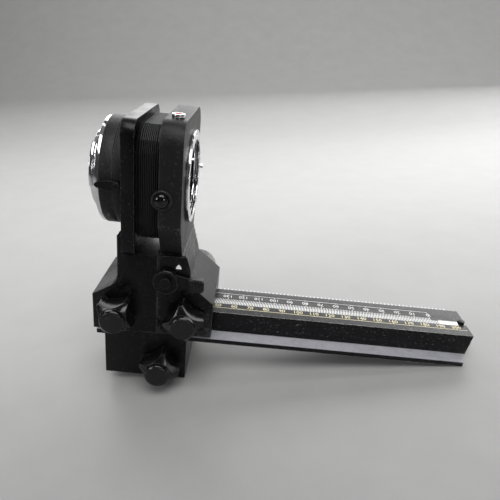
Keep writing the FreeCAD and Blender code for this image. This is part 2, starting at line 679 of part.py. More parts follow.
# ---------------------------------------------------------------- camera side
def make_turret():
    node("turret_collar", carved("turret_collar",
         ring("turret_collar_ring", "-X", "rear_frame_x", "axis_height", "turret_radius",
              "spigot_radius + turn_gap", "turret_collar_thick"),
         rod("turret_pivot_hole", "+Y", TURRET_PIVOT_X, "-turret_radius - 1", "axis_height", "0.9", "7")))
    drum = rod("drum_barrel", "-X", DRUM_FRONT, "0", "axis_height", "turret_radius", "drum_length")
    spigot = rod("drum_spigot", "+X", DRUM_FRONT, "0", "axis_height", "spigot_radius",
                 f"{REAR_FRAME_FACE} - retainer_thick - turn_gap - {DRUM_FRONT} + 0.2")
    bore = rod("drum_bore", "-X", f"{REAR_FRAME_FACE} + 1", "0", "axis_height", "drum_bore", "40")
    node("turret_drum", carved("turret_drum", joined("drum_body", drum, spigot), bore))
    node("turret_retainer", ring("turret_retainer", "-X", f"{REAR_FRAME_FACE} - 0.1", "axis_height",
                                 "retainer_radius", "drum_bore", "retainer_thick"))

    flange = rod("camera_flange_disc", "-X", DRUM_REAR, "0", "axis_height", "camera_flange_radius",
                 "camera_flange_thick")
    tube = rod("camera_tube", "-X", CAMERA_FLANGE, "0", "axis_height", "bayonet_tube_radius",
               "bayonet_length")
    tabs = []
    for index in range(3):
        tab = rod(f"camera_tab_{index}", "-X", f"{CAMERA_FLANGE} - bayonet_length + bayonet_tab_thick", "0",
                  "axis_height", "bayonet_tab_radius", "bayonet_tab_thick", "bayonet_tab_angle")
        tab.Placement.Rotation = AXES["-X"].multiply(Rotation(Vector(0, 0, 1), 120 * index + 20))
        move(tab, f"{CAMERA_FLANGE} - bayonet_length + bayonet_tab_thick", "0", "axis_height")
        tabs.append(tab)
    throat = rod("camera_throat_bore", "-X", f"{DRUM_REAR} + 1", "0", "axis_height", "camera_throat", "20")
    places = screw_places(4, f"((camera_flange_radius + bayonet_tab_radius) / 2)", 45)
    heads = [rod(f"camera_screw_seat_{i}", "-X", f"{CAMERA_FLANGE} + 1.4", y, z, "mount_screw_radius", "3")
             for i, (y, z) in enumerate(places)]
    node("camera_mount", carved("camera_mount", joined("camera_mount_body", flange, tube, *tabs),
                                throat, *heads))
    node("camera_mount_screws", joined("camera_mount_screws", *[
        rod(f"camera_screw_{i}", "-X", f"{CAMERA_FLANGE} + 1.4", y, z, "mount_screw_radius", "1.3")
        for i, (y, z) in enumerate(places)]))


def screw_places(count, radius, first):
    """Evenly spaced points about the optical axis, as (y, z) formulas."""
    places = []
    for index in range(count):
        angle = math.radians(first + 360 * index / count)
        places.append((f"{radius} * {math.cos(angle):.6f}",
                       f"axis_height + {radius} * {math.sin(angle):.6f}"))
    return places


TURRET_PIVOT_X = "(rear_frame_x - turret_collar_thick / 2)"


def make_turret_lock():
    face = "(-turret_radius - turn_gap)"
    hub = rod("turret_lever_hub", "-Y", TURRET_PIVOT_X, face, "axis_height",
              "turret_collar_thick / 2 - turn_gap", "turret_lever_thick")
    arm = prism("turret_lever_arm", "XZ", [
        (TURRET_PIVOT_X, "axis_height - 2.4"), (TURRET_PIVOT_X, "axis_height + 2.4"),
        (f"{TURRET_PIVOT_X} - turret_lever_reach", "axis_height + 0.6"),
        (f"{TURRET_PIVOT_X} - turret_lever_reach", "axis_height - 1.6")],
        f"{face} - turret_lever_thick", "turret_lever_thick")
    hole = rod("turret_lever_hole", "-Y", TURRET_PIVOT_X, f"{face} + 1", "axis_height", "1.0",
               "turret_lever_thick + 2")
    node("turret_lock_lever", carved("turret_lock_lever", joined("turret_lever_body", hub, arm), hole))
    stem = rod("turret_pivot_stem", "+Y", TURRET_PIVOT_X, f"{face} - turret_lever_thick - slide_gap",
               "axis_height", "0.9", f"turret_lever_thick + turn_gap + slide_gap + 5")
    head = rod("turret_pivot_head", "-Y", TURRET_PIVOT_X, f"{face} - turret_lever_thick - slide_gap",
               "axis_height", "1.7", "0.7")
    node("turret_lock_pivot", joined("turret_lock_pivot", stem, head))


# ---------------------------------------------------------------- lens side
def make_lens_mount():
    body = rod("lens_ring_disc", "+X", FRONT_FRAME_FACE, "0", "axis_height", "lens_ring_radius",
               "lens_ring_thick")
    hole = rod("lens_ring_hole", "+X", f"{FRONT_FRAME_FACE} - 1", "0", "axis_height", "lens_ring_bore",
               "lens_ring_thick + 2")
    tabs = []
    tab_start = f"{FRONT_FRAME_FACE} + lens_ring_thick - lens_tab_thick"
    for index in range(3):
        tab = rod(f"lens_tab_{index}", "+X", tab_start, "0", "axis_height", "lens_ring_bore + 0.5",
                  "lens_tab_thick", "bayonet_tab_angle")
        tab.Placement.Rotation = AXES["+X"].multiply(Rotation(Vector(0, 0, 1), 120 * index + 150))
        move(tab, tab_start, "0", "axis_height")
        tabs.append(tab)
    inside = rod("lens_tab_hole", "+X", f"{FRONT_FRAME_FACE} - 1", "0", "axis_height", "lens_tab_bore",
                 "lens_ring_thick + 2")
    tab_ring = carved("lens_tabs", joined("lens_tab_blanks", *tabs), inside)
    places = screw_places(5, "lock_pin_place", 90)
    seats = [rod(f"lens_screw_seat_{i}", "+X", f"{FRONT_FRAME_FACE} + 0.6", y, z, "mount_screw_radius", "2")
             for i, (y, z) in enumerate(places)]
    pin_hole = rod("lens_pin_hole", "+X", f"{FRONT_FRAME_FACE} - 1", "lock_pin_place", "axis_height",
                   "lock_pin_radius + bore_gap", "lens_ring_thick + 2")
    disc = carved("lens_ring_bored", body, hole, pin_hole, *seats)
    node("lens_mount_ring", joined("lens_mount_ring", disc, tab_ring))
    node("lens_mount_screws", joined("lens_mount_screws", *[
        rod(f"lens_screw_{i}", "+X", f"{FRONT_FRAME_FACE} + 0.6", y, z, "mount_screw_radius", "1.3")
        for i, (y, z) in enumerate(places)]))
    node("lens_throat", ring("lens_throat", "+X", "front_frame_x", "axis_height", "frame_opening",
                             "lens_throat_bore", "lens_throat_length"))
    node("lens_lock_pin", rod("lens_lock_pin", "+X", "front_frame_x + 3", "lock_pin_place", "axis_height",
                              "lock_pin_radius",
                              "front_frame_thick + lens_ring_thick + lock_pin_proud - 3"))


def make_aperture_ring():
    start = "(front_frame_x + lens_throat_length + turn_gap)"
    hoop = ring("aperture_hoop", "+X", start, "axis_height", "frame_opening - turn_gap",
                "aperture_ring_bore", "aperture_ring_thick")
    angle = math.radians(140)
    pin = rod("aperture_pin", "+X", f"{start} + aperture_ring_thick / 2",
              f"aperture_pin_place * {math.cos(angle):.6f}",
              f"axis_height + aperture_pin_place * {math.sin(angle):.6f}", "aperture_pin_radius",
              f"{FRONT_FRAME_FACE} + lens_ring_thick + 1.2 - {start} - aperture_ring_thick / 2")
    node("aperture_ring", joined("aperture_ring", hoop, pin))


# ---------------------------------------------------------------- small controls
def make_release_button():
    face = "(-front_frame_half - 0.3)"
    stem = rod("button_stem", "+Y", "button_x", f"{face}", "button_height", "button_stem_radius",
               "front_frame_half - frame_opening - button_travel - 1.2")
    rim = rod("button_rim_part", "-Y", "button_x", f"{face} + 0.1", "button_height", "button_radius",
              "button_rim")
    ball_radius = "((button_radius ^ 2 + button_dome ^ 2) / (2 * button_dome))"
    ball = doc.addObject("Part::Sphere", "button_ball")
    bind(ball, Radius=ball_radius)
    move(ball, "button_x", f"{face} + 0.1 - button_rim - button_dome + {ball_radius}", "button_height")
    reach = rod("button_reach", "-Y", "button_x", f"{face} + 0.1 - button_rim", "button_height",
                "button_radius", "button_dome + 1")
    cap = shared("button_cap", ball, reach)
    node("lens_release_button", joined("lens_release_button", stem, rim, cap))


def make_cable_socket():
    depth = "(socket_depth - 0.3)"
    head = rod("socket_head", "+Z", "socket_x", "socket_y", FRONT_TOP, "socket_radius",
               "socket_proud")
    shank = rod("socket_shank", "+Z", "socket_x", "socket_y", f"{FRONT_TOP} - {depth}",
                "socket_radius - 0.6", depth)
    bore = rod("socket_hole", "+Z", "socket_x", "socket_y", f"{FRONT_TOP} - {depth} - 1",
               "socket_bore + 0.8", f"{depth} + socket_proud + 2")
    node("cable_socket", carved("cable_socket", joined("socket_body", head, shank), bore))
    node("cable_socket_core", ring("cable_socket_core", "+Z", "socket_x", f"{FRONT_TOP} - {depth}",
                                   "socket_bore + 0.8", "socket_bore", f"{depth} + socket_proud - 0.4",
                                   y="socket_y"))


def make_stop_down_lever():
    plate = box("housing_plate", f"{FRONT_BACK} + 1.4", HOUSING_FACE, "lever_height - 8",
                f"front_column_nose - {FRONT_BACK} - 1.8", "housing_thick", "23")
    shaped = rounded("housing_rounded", plate, "3", lambda edge: runs_along(edge, Vector(0, 1, 0)))
    hole = rod("housing_hole", "+Y", "lever_x", f"{HOUSING_FACE} - 1", "lever_height", "1.5",
               "housing_thick + 2")
    corner = prism("housing_corner", "XZ", [
        ("front_column_nose - 3", "lever_height + 16"), ("front_column_nose + 1", "lever_height + 16"),
        ("front_column_nose + 1", "lever_height + 3")], f"{HOUSING_FACE} - 1", "housing_thick + 2")
    node("lever_housing", carved("lever_housing", shaped, hole, corner))

    face = f"({HOUSING_FACE} - turn_gap)"
    hub = rod("lever_hub", "-Y", "lever_x", face, "lever_height", "lever_hub_radius", "lever_thick")
    low, high = "(lever_height + 1.2 - lever_end_half)", "(lever_height + 1.2 + lever_end_half)"
    arm = prism("lever_arm", "XZ", [
        ("lever_x", "lever_height - lever_hub_radius + 1.2"), ("lever_x", "lever_height + lever_hub_radius - 0.6"),
        ("lever_x + lever_reach - lever_end_half", high), ("lever_x + lever_reach - lever_end_half", low)],
        f"{face} - lever_thick", "lever_thick")
    end = rod("lever_end", "-Y", "lever_x + lever_reach - lever_end_half", f"{face} + 2",
              "lever_height + 1.2", "lever_end_half", "lever_thick + 3.2")
    pad = box("lever_pad", "front_column_nose + 1.2", f"{face} - lever_thick - 1.2", low,
              "lever_x + lever_reach - lever_end_half - front_column_nose - 1.2", "lever_thick + 3.2",
              "2 * lever_end_half")
    bore = rod("lever_bore", "-Y", "lever_x", f"{face} + 3", "lever_height", "1.5 + bore_gap",
               "lever_thick + 6")
    node("stop_down_lever", carved("stop_down_lever", joined("lever_body", hub, arm, end, pad), bore))
    stem = rod("lever_screw_stem", "+Y", "lever_x", f"{face} - lever_thick - slide_gap", "lever_height",
               "1.5", "lever_thick + slide_gap + turn_gap + housing_thick + 5")
    head = rod("lever_screw_head", "-Y", "lever_x", f"{face} - lever_thick - slide_gap", "lever_height",
               "3.0", "1.0")
    node("lever_screw", joined("lever_screw", stem, head))


# ---------------------------------------------------------------- assembly
PINION_LOW = "(table_half + top_gap)"
PINION_HIGH = "(rack_outer - slide_gap)"
GAP_AT = number("rear_axis_x")

make_stage()
make_rail(GAP_AT)
make_rear_carriage()
make_front_carriage()
make_rear_frame()
make_front_frame()
make_bellows()
make_turret()
make_turret_lock()
make_lens_mount()
make_aperture_ring()
make_release_button()
make_cable_socket()
make_stop_down_lever()
drive("stage", "stage_axis_x", "stage_axis_height", "(stage_rack_inner + turn_gap)",
      "(stage_rack_outer - turn_gap)", GAP_AT, 1)
lock("stage", "stage_axis_x", "stage_axis_height", -12)
for standard, lobe_angle in (("rear", 55), ("front", 10)):
    drive(standard, f"{standard}_axis_x", "focus_axis_height", PINION_LOW, PINION_HIGH, GAP_AT, -1)
    lock(standard, f"{standard}_axis_x", "focus_axis_height", lobe_angle)

doc.recompute()
for obj in doc.Objects:
    if "Invalid" in obj.State or "Error" in obj.State:
        raise RuntimeError(f"{obj.Label} failed to build")
os.makedirs("parts", exist_ok=True)
for piece in nodes:
    shape = piece.Shape
    if shape.isNull() or not shape.isValid() or not shape.Solids:
        raise RuntimeError(f"{piece.Label} has no valid solid")
    shape.exportStep(f"parts/{piece.Label}.step")
print(len(nodes), "pieces")
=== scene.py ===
"""Looks for the macro bellows on a focusing rail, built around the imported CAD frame.

Everything is in metres in the frame's own axes: +X along the rail towards the lens, +Y to the
side with the drive knobs, +Z up from the stage's underside.
"""
import json
import math

import bmesh
import bpy
from mathutils import Matrix, Vector


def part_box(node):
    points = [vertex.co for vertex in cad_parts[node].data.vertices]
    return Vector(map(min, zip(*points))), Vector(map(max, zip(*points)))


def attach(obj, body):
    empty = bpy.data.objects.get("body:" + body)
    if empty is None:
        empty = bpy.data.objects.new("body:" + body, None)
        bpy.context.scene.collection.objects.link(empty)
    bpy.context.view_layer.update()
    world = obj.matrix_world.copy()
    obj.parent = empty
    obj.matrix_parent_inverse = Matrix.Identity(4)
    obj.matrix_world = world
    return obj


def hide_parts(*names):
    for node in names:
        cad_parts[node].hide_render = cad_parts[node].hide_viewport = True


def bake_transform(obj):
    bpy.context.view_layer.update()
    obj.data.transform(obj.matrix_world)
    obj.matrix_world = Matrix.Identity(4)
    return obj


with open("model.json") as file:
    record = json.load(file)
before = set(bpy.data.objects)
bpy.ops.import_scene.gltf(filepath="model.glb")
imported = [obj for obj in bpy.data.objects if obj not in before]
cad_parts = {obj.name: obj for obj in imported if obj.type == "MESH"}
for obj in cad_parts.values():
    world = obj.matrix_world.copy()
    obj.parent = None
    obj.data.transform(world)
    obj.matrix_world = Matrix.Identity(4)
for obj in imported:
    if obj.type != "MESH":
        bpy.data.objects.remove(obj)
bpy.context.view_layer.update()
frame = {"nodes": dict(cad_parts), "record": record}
MM = 0.001
nodes = frame["nodes"]


# ---------------------------------------------------------------- materials
class Shader:
    """A small node tree builder: every method adds one node and returns its output."""

    def __init__(self, name):
        self.material = bpy.data.materials.new(name)
        self.material.use_nodes = True
        self.tree = self.material.node_tree
        self.surface = self.tree.nodes["Principled BSDF"]
        self.place = self.add("ShaderNodeTexCoord").outputs["Object"]

    def add(self, kind, **settings):
        made = self.tree.nodes.new(kind)
        for key, value in settings.items():
            setattr(made, key, value)
        return made

    def feed(self, socket, value):
        if isinstance(value, bpy.types.NodeSocket):
            self.tree.links.new(value, socket)
        else:
            socket.default_value = value

    def stretch(self, x, y, z):
        mapping = self.add("ShaderNodeMapping")
        self.feed(mapping.inputs["Vector"], self.place)
        mapping.inputs["Scale"].default_value = (x, y, z)
        return mapping.outputs["Vector"]

    def noise(self, scale, detail=3.0, rough=0.55, at=None):
        made = self.add("ShaderNodeTexNoise")
        self.feed(made.inputs["Vector"], at or self.place)
        self.feed(made.inputs["Scale"], scale)
        self.feed(made.inputs["Detail"], detail)
        self.feed(made.inputs["Roughness"], rough)
        return made.outputs["Fac"]

    def cells(self, scale, feature="F1", at=None):
        made = self.add("ShaderNodeTexVoronoi", feature=feature)
        self.feed(made.inputs["Vector"], at or self.place)
        self.feed(made.inputs["Scale"], scale)
        return made.outputs["Distance"]

    def span(self, value, low, high, at_low=0.3, at_high=0.7):
        """Maps value from at_low..at_high to low..high."""
        made = self.add("ShaderNodeMapRange")
        self.feed(made.inputs["Value"], value)
        made.inputs["From Min"].default_value = at_low
        made.inputs["From Max"].default_value = at_high
        made.inputs["To Min"].default_value = low
        made.inputs["To Max"].default_value = high
        return made.outputs["Result"]

    def sums(self, a, b, operation="ADD"):
        made = self.add("ShaderNodeMath", operation=operation)
        self.feed(made.inputs[0], a)
        self.feed(made.inputs[1], b)
        return made.outputs[0]

    def ramp(self, value, *stops):
        made = self.add("ShaderNodeValToRGB")
        self.feed(made.inputs["Fac"], value)
        band = made.color_ramp.elements
        while len(band) < len(stops):
            band.new(0.5)
        for element, (place, colour) in zip(band, stops):
            element.position = place
            element.color = (*colour, 1)
        return made.outputs["Color"]

    def worn(self, colour, edge_wear_and_highlight, reach=0.35):
        """Mixes colour towards a paler tone in broken lines along the edges, reach mm wide: partly wear and
        partly a painted highlight along the edges.
        """
        rounded = self.add("ShaderNodeBevel", samples=3)
        rounded.inputs["Radius"].default_value = reach * MM
        bent = self.add("ShaderNodeVectorMath", operation="DOT_PRODUCT")
        self.feed(bent.inputs[0], rounded.outputs["Normal"])
        self.feed(bent.inputs[1], self.add("ShaderNodeNewGeometry").outputs["True Normal"])
        patchy = self.sums(bent.outputs["Value"], self.span(self.noise(700, 4), -0.09, 0.05))
        made = self.add("ShaderNodeMix", data_type="RGBA")
        self.feed(made.inputs["Factor"], self.span(patchy, 1.0, 0.0, 0.72, 0.94))
        self.feed(made.inputs[6], colour)
        made.inputs[7].default_value = (*edge_wear_and_highlight, 1)
        return made.outputs[2]

    def bump(self, height, strength, distance, under=None):
        made = self.add("ShaderNodeBump")
        self.feed(made.inputs["Height"], height)
        made.inputs["Strength"].default_value = strength
        made.inputs["Distance"].default_value = distance
        if under is not None:
            self.feed(made.inputs["Normal"], under)
        return made.outputs["Normal"]

    def finish(self, colour, rough, normal=None, **constants):
        self.feed(self.surface.inputs["Base Color"], colour)
        self.feed(self.surface.inputs["Roughness"], rough)
        if normal is not None:
            self.feed(self.surface.inputs["Normal"], normal)
        for key, value in constants.items():
            self.surface.inputs[key.replace("_", " ").title().replace("Ior", "IOR")].default_value = value
        return self.material


def enamel(name, dark, light, low, high, grain, lift):
    """Sprayed satin enamel: orange peel, patchy gloss and edges lightened in broken lines, partly wear and
    partly painted highlight.
    """
    s = Shader(name)
    patches = s.noise(90, 3)
    colour = s.worn(s.ramp(patches, (0.3, dark), (0.7, light)), (0.12, 0.12, 0.125))
    fine = s.noise(grain, 4)
    rough = s.sums(s.span(patches, low, high), s.span(fine, -0.04, 0.04))
    peel = s.bump(fine, 0.35, lift)
    dust = s.bump(s.cells(grain * 1.7), 0.05, lift * 0.5, under=peel)
    return s.finish(colour, rough, dust, specular_ior_level=0.2)


def crinkle(name):
    """Fine wrinkle enamel on the lens standard and the turret."""
    s = Shader(name)
    wrinkle = s.cells(1700, "DISTANCE_TO_EDGE", s.stretch(1.0, 0.8, 1.25))
    soft = s.noise(1500, 5, 0.65)
    # The edges are lightened to grey: partly wear and partly a painted highlight.
    colour = s.worn(s.ramp(s.sums(wrinkle, soft, "MULTIPLY"), (0.02, (0.0016, 0.0016, 0.0016)),
                           (0.3, (0.012, 0.012, 0.0125))), (0.16, 0.16, 0.16))
    normal = s.bump(soft, 0.6, 0.00022, under=s.bump(wrinkle, 0.6, 0.00012))
    return s.finish(colour, s.span(soft, 0.36, 0.56), normal, specular_ior_level=0.3)


def brushed(name, dark, light, low, high, along, metallic, lift=0.00002):
    """Metal with fine lines along one axis: the scale that is small is the lines' direction."""
    s = Shader(name)
    lines = s.noise(1.0, 6, 0.6, s.stretch(*along))
    blotch = s.noise(120, 3)
    # The edges are lightened towards a paler tone of the metal: partly wear and partly a painted highlight.
    colour = s.worn(s.ramp(lines, (0.3, dark), (0.7, light)), tuple(min(1.0, 2.2 * c + 0.1) for c in light))
    rough = s.sums(s.span(lines, low, high), s.span(blotch, -0.05, 0.05))
    return s.finish(colour, rough, s.bump(lines, 0.3, lift), metallic=metallic)


def rail_finish(name):
    """Black anodising, with the flange's top coloured pale bluish grey as a painted reflection of the light
    it catches.
    """
    s = Shader(name)
    lines = s.noise(1.0, 6, 0.6, s.stretch(60, 2600, 2600))
    blotch = s.noise(160, 5, 0.7)
    spot = s.add("ShaderNodeSeparateXYZ")
    s.feed(spot.inputs[0], s.place)
    flange_top_sheen = s.add("ShaderNodeMath", operation="COMPARE")
    s.feed(flange_top_sheen.inputs[0], spot.outputs["Z"])
    flange_top_sheen.inputs[1].default_value = 0.0275
    flange_top_sheen.inputs[2].default_value = 0.0003
    mix = s.add("ShaderNodeMix", data_type="RGBA")
    s.feed(mix.inputs["Factor"], flange_top_sheen.outputs[0])
    # The rail's edges are lightened to near white: a painted highlight along the rounded edges, well beyond
    # any wear.
    s.feed(mix.inputs[6], s.worn(s.ramp(lines, (0.3, (0.0025, 0.0025, 0.003)), (0.7, (0.006, 0.006, 0.007))),
                                 (0.7, 0.7, 0.7), 0.4))
    # Painted reflection: the flange's top is given a pale bluish grey colour in place of the grazing light
    # it reflects.
    s.feed(mix.inputs[7], s.ramp(blotch, (0.3, (0.34, 0.34, 0.37)), (0.7, (0.42, 0.42, 0.45))))
    rough = s.sums(s.span(lines, 0.22, 0.34), s.span(blotch, -0.03, 0.05))
    return s.finish(mix.outputs[2], rough, s.bump(lines, 0.3, 0.00001), specular_ior_level=0.2)


def chromed(name, dull=0.05):
    """Polished chrome plate with hairlines and faint handling marks."""
    s = Shader(name)
    hair = s.noise(1.0, 5, 0.7, s.stretch(5200, 900, 900))
    marks = s.noise(260, 5, 0.7)
    colour = s.ramp(marks, (0.25, (0.66, 0.66, 0.68)), (0.75, (0.86, 0.86, 0.87)))
    rough = s.sums(s.span(hair, dull, dull + 0.10), s.span(marks, -0.02, 0.06))
    return s.finish(colour, rough, s.bump(hair, 0.12, 0.00001), metallic=1.0)


def moulded(name, dark, light, low, high):
    """Moulded plastic with a fine texture and lighter edges, partly wear and partly painted highlight."""
    s = Shader(name)
    grain = s.noise(2600, 4)
    flow = s.noise(140, 3)
    colour = s.worn(s.ramp(flow, (0.3, dark), (0.7, light)), (0.16, 0.16, 0.165), 0.22)
    rough = s.sums(s.span(grain, low, high), s.span(flow, -0.05, 0.05))
    return s.finish(colour, rough, s.bump(grain, 0.25, 0.00001), specular_ior_level=0.4)


def leathercloth(name):
    """Bellows cloth: pebbled black grain, duller in the folds."""
    s = Shader(name)
    pebble = s.cells(2300)
    thread = s.noise(1.0, 2, 0.5, s.stretch(3000, 1500, 3000))
    colour = s.ramp(s.sums(pebble, thread, "MULTIPLY"),
                    (0.05, (0.002, 0.002, 0.0022)), (0.4, (0.009, 0.009, 0.0095)))
    normal = s.bump(thread, 0.3, 0.00005, under=s.bump(pebble, 0.5, 0.00008))
    return s.finish(colour, s.span(pebble, 0.3, 0.48, 0.0, 0.6), normal,
                    sheen_weight=0.04, sheen_roughness=0.4, specular_ior_level=0.3)


def printed(name, dark, light):
    """Screen-printed ink: slightly patchy, matt."""
    s = Shader(name)
    patch = s.noise(1500, 4, 0.7)
    colour = s.ramp(patch, (0.28, dark), (0.6, light))
    return s.finish(colour, s.span(patch, 0.45, 0.65), s.bump(patch, 0.2, 0.00002))


def lacquer(name, dark, light):
    s = Shader(name)
    patch = s.noise(700, 3)
    return s.finish(s.ramp(patch, (0.3, dark), (0.7, light)), s.span(patch, 0.18, 0.32),
                    s.bump(patch, 0.2, 0.00002), coat_weight=0.4)


LOOKS = {
    "black_paint": enamel("satin_enamel", (0.0016, 0.0016, 0.0018), (0.0035, 0.0035, 0.0038),
                          0.24, 0.36, 1500, 0.00002),
    "crinkle_paint": crinkle("crinkle_enamel"),
    "anodised": rail_finish("black_anodised"),
    "knob_black": moulded("knob_plastic", (0.002, 0.002, 0.0022), (0.004, 0.004, 0.0043),
                          0.16, 0.26),
    "chrome": chromed("bright_chrome"),
    "steel": brushed("turned_steel", (0.42, 0.42, 0.43), (0.62, 0.62, 0.63), 0.2, 0.36,
                     (900, 900, 4000), 1.0),
    "brass": brushed("machined_brass", (0.52, 0.38, 0.16), (0.76, 0.58, 0.28), 0.22, 0.38,
                     (900, 4000, 900), 1.0),
    "bellows_cloth": leathercloth("leathercloth"),
    "red_ring": lacquer("red_lacquer", (0.42, 0.008, 0.02), (0.62, 0.02, 0.035)),
}
WHITE_INK = printed("white_ink", (0.72, 0.72, 0.72), (0.92, 0.92, 0.91))
YELLOW_INK = printed("yellow_ink", (0.75, 0.66, 0.38), (0.95, 0.87, 0.58))
GLOSS_BLACK = moulded("gloss_black", (0.002, 0.002, 0.002), (0.003, 0.003, 0.003), 0.03, 0.07)


def paint(piece, look):
    piece.data.materials.clear()
    piece.data.materials.append(look)


def round_edges(piece, width, angle=30, segments=3):
    """Bevels the edges sharper than angle degrees by width mm."""
    bevel = piece.modifiers.new("bevel", "BEVEL")
    bevel.width = width * MM
    bevel.segments = segments
    bevel.limit_method = "ANGLE"
    bevel.angle_limit = math.radians(angle)
    bevel.harden_normals = True
    return bevel


def soften(piece, width, angle=28.0, segments=3):
    """Joins the mesh's split corners, merges flat facets and rounds sharp edges by width mm."""
    weld = piece.modifiers.new("weld", "WELD")
    weld.merge_threshold = 1e-6
    flat = piece.modifiers.new("flat", "DECIMATE")
    flat.decimate_type = "DISSOLVE"
    flat.angle_limit = math.radians(0.6)
    bevel = round_edges(piece, width, angle, segments)
    bevel.miter_outer = "MITER_ARC"
    for face in piece.data.polygons:
        face.use_smooth = True


# Edge rounding in mm of each CAD node that has its own; the rest have SMALL_ROUNDING.
SMALL_ROUNDING = 0.15
ROUNDING = {
    "front_frame": 0.9, "rear_frame": 0.8, "rail": 0.45,
    "front_carriage": 0.5, "rear_carriage": 0.5, "stage_block": 0.5,
    "turret_drum": 0.1, "turret_collar": 0.1, "camera_mount": 0.25, "lens_mount_ring": 0.25,
    "rear_lock_knob": 0.6, "front_lock_knob": 0.6, "stage_lock_knob": 0.6,
}
for part in frame["record"]["subparts"]:
    node = nodes[part["node"]]
    paint(node, LOOKS[part["material_slot"]])
    soften(node, ROUNDING.get(part["node"], SMALL_ROUNDING))
for name in ("end_stop", "turret_lock_pivot"):
    paint(nodes[name], LOOKS["black_paint"])
paint(nodes["turret_drum"], LOOKS["crinkle_paint"])
paint(nodes["turret_collar"], LOOKS["crinkle_paint"])


# ---------------------------------------------------------------- building helpers
def add_piece(name, bm, body, look, replaces=(), smooth=True):
    """Turns a bmesh in the frame's metres into a piece that rides on body."""
    bmesh.ops.remove_doubles(bm, verts=bm.verts, dist=1e-7)
    bmesh.ops.recalc_face_normals(bm, faces=bm.faces)
    mesh = bpy.data.meshes.new(name)
    bm.to_mesh(mesh)
    bm.free()
    for face in mesh.polygons:
        face.use_smooth = smooth
    piece = bpy.data.objects.new(name, mesh)
    bpy.context.collection.objects.link(piece)
    paint(piece, look)
    if body:
        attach(piece, body)
    if replaces:
        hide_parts(*replaces)
    return piece


def place_on(centre, axis, spin=0.0):
    """A matrix in metres that takes mm along local Z to axis, at centre in metres."""
    turn = Vector((0, 0, 1)).rotation_difference(Vector(axis)).to_matrix().to_4x4()
    return Matrix.Translation(centre) @ turn @ Matrix.Rotation(spin, 4, "Z") @ Matrix.Scale(MM, 4)


def lathe(bm, profile, at, steps=96, radius_at=None):
    """Revolves (radius, height) pairs in mm about local Z.

    radius_at(angle, radius, row) may shape the section.
    """
    rings = []
    for row, (radius, height) in enumerate(profile):
        if radius == 0:
            rings.append([bm.verts.new(at @ Vector((0, 0, height)))])
            continue
        ring = []
        for k in range(steps):
            a = 2 * math.pi * k / steps
            r = radius_at(a, radius, row) if radius_at else radius
            ring.append(bm.verts.new(at @ Vector((r * math.cos(a), r * math.sin(a), height))))
        rings.append(ring)
    for one, two in zip(rings, rings[1:]):
        for k in range(steps):
            n = (k + 1) % steps
            if len(one) == 1:
                bm.faces.new((one[0], two[k], two[n]))
            elif len(two) == 1:
                bm.faces.new((one[k], two[0], one[n]))
            else:
                bm.faces.new((one[k], two[k], two[n], one[n]))


def slab(bm, corners, low, thick, at=None):
    """A prism over a flat outline of (x, y) mm in the local XY plane."""
    at = at or Matrix.Scale(MM, 4)
    base = [bm.verts.new(at @ Vector((x, y, low))) for x, y in corners]
    top = [bm.verts.new(at @ Vector((x, y, low + thick))) for x, y in corners]
    bm.faces.new(base[::-1])
    bm.faces.new(top)
    for k in range(len(corners)):
        n = (k + 1) % len(corners)
        bm.faces.new((base[k], base[n], top[n], top[k]))


def islands(name):
    """(lowest, highest) corners in metres of each separate solid in a CAD node."""
    mesh = nodes[name].data
    key, parent = {}, {}

    def root(a):
        while parent[a] != a:
            a = parent[a]
        return a

    for v in mesh.vertices:
        key[v.index] = tuple(round(c * 1e6) for c in v.co)
        parent.setdefault(key[v.index], key[v.index])
    for face in mesh.polygons:
        first = root(key[face.vertices[0]])
        for v in face.vertices[1:]:
            parent[root(key[v])] = first
    groups = {}
    for k in parent:
        groups.setdefault(root(k), []).append(k)
    return sorted((Vector(min(c[i] for c in g) * 1e-6 for i in range(3)),
                   Vector(max(c[i] for c in g) * 1e-6 for i in range(3))) for g in groups.values())


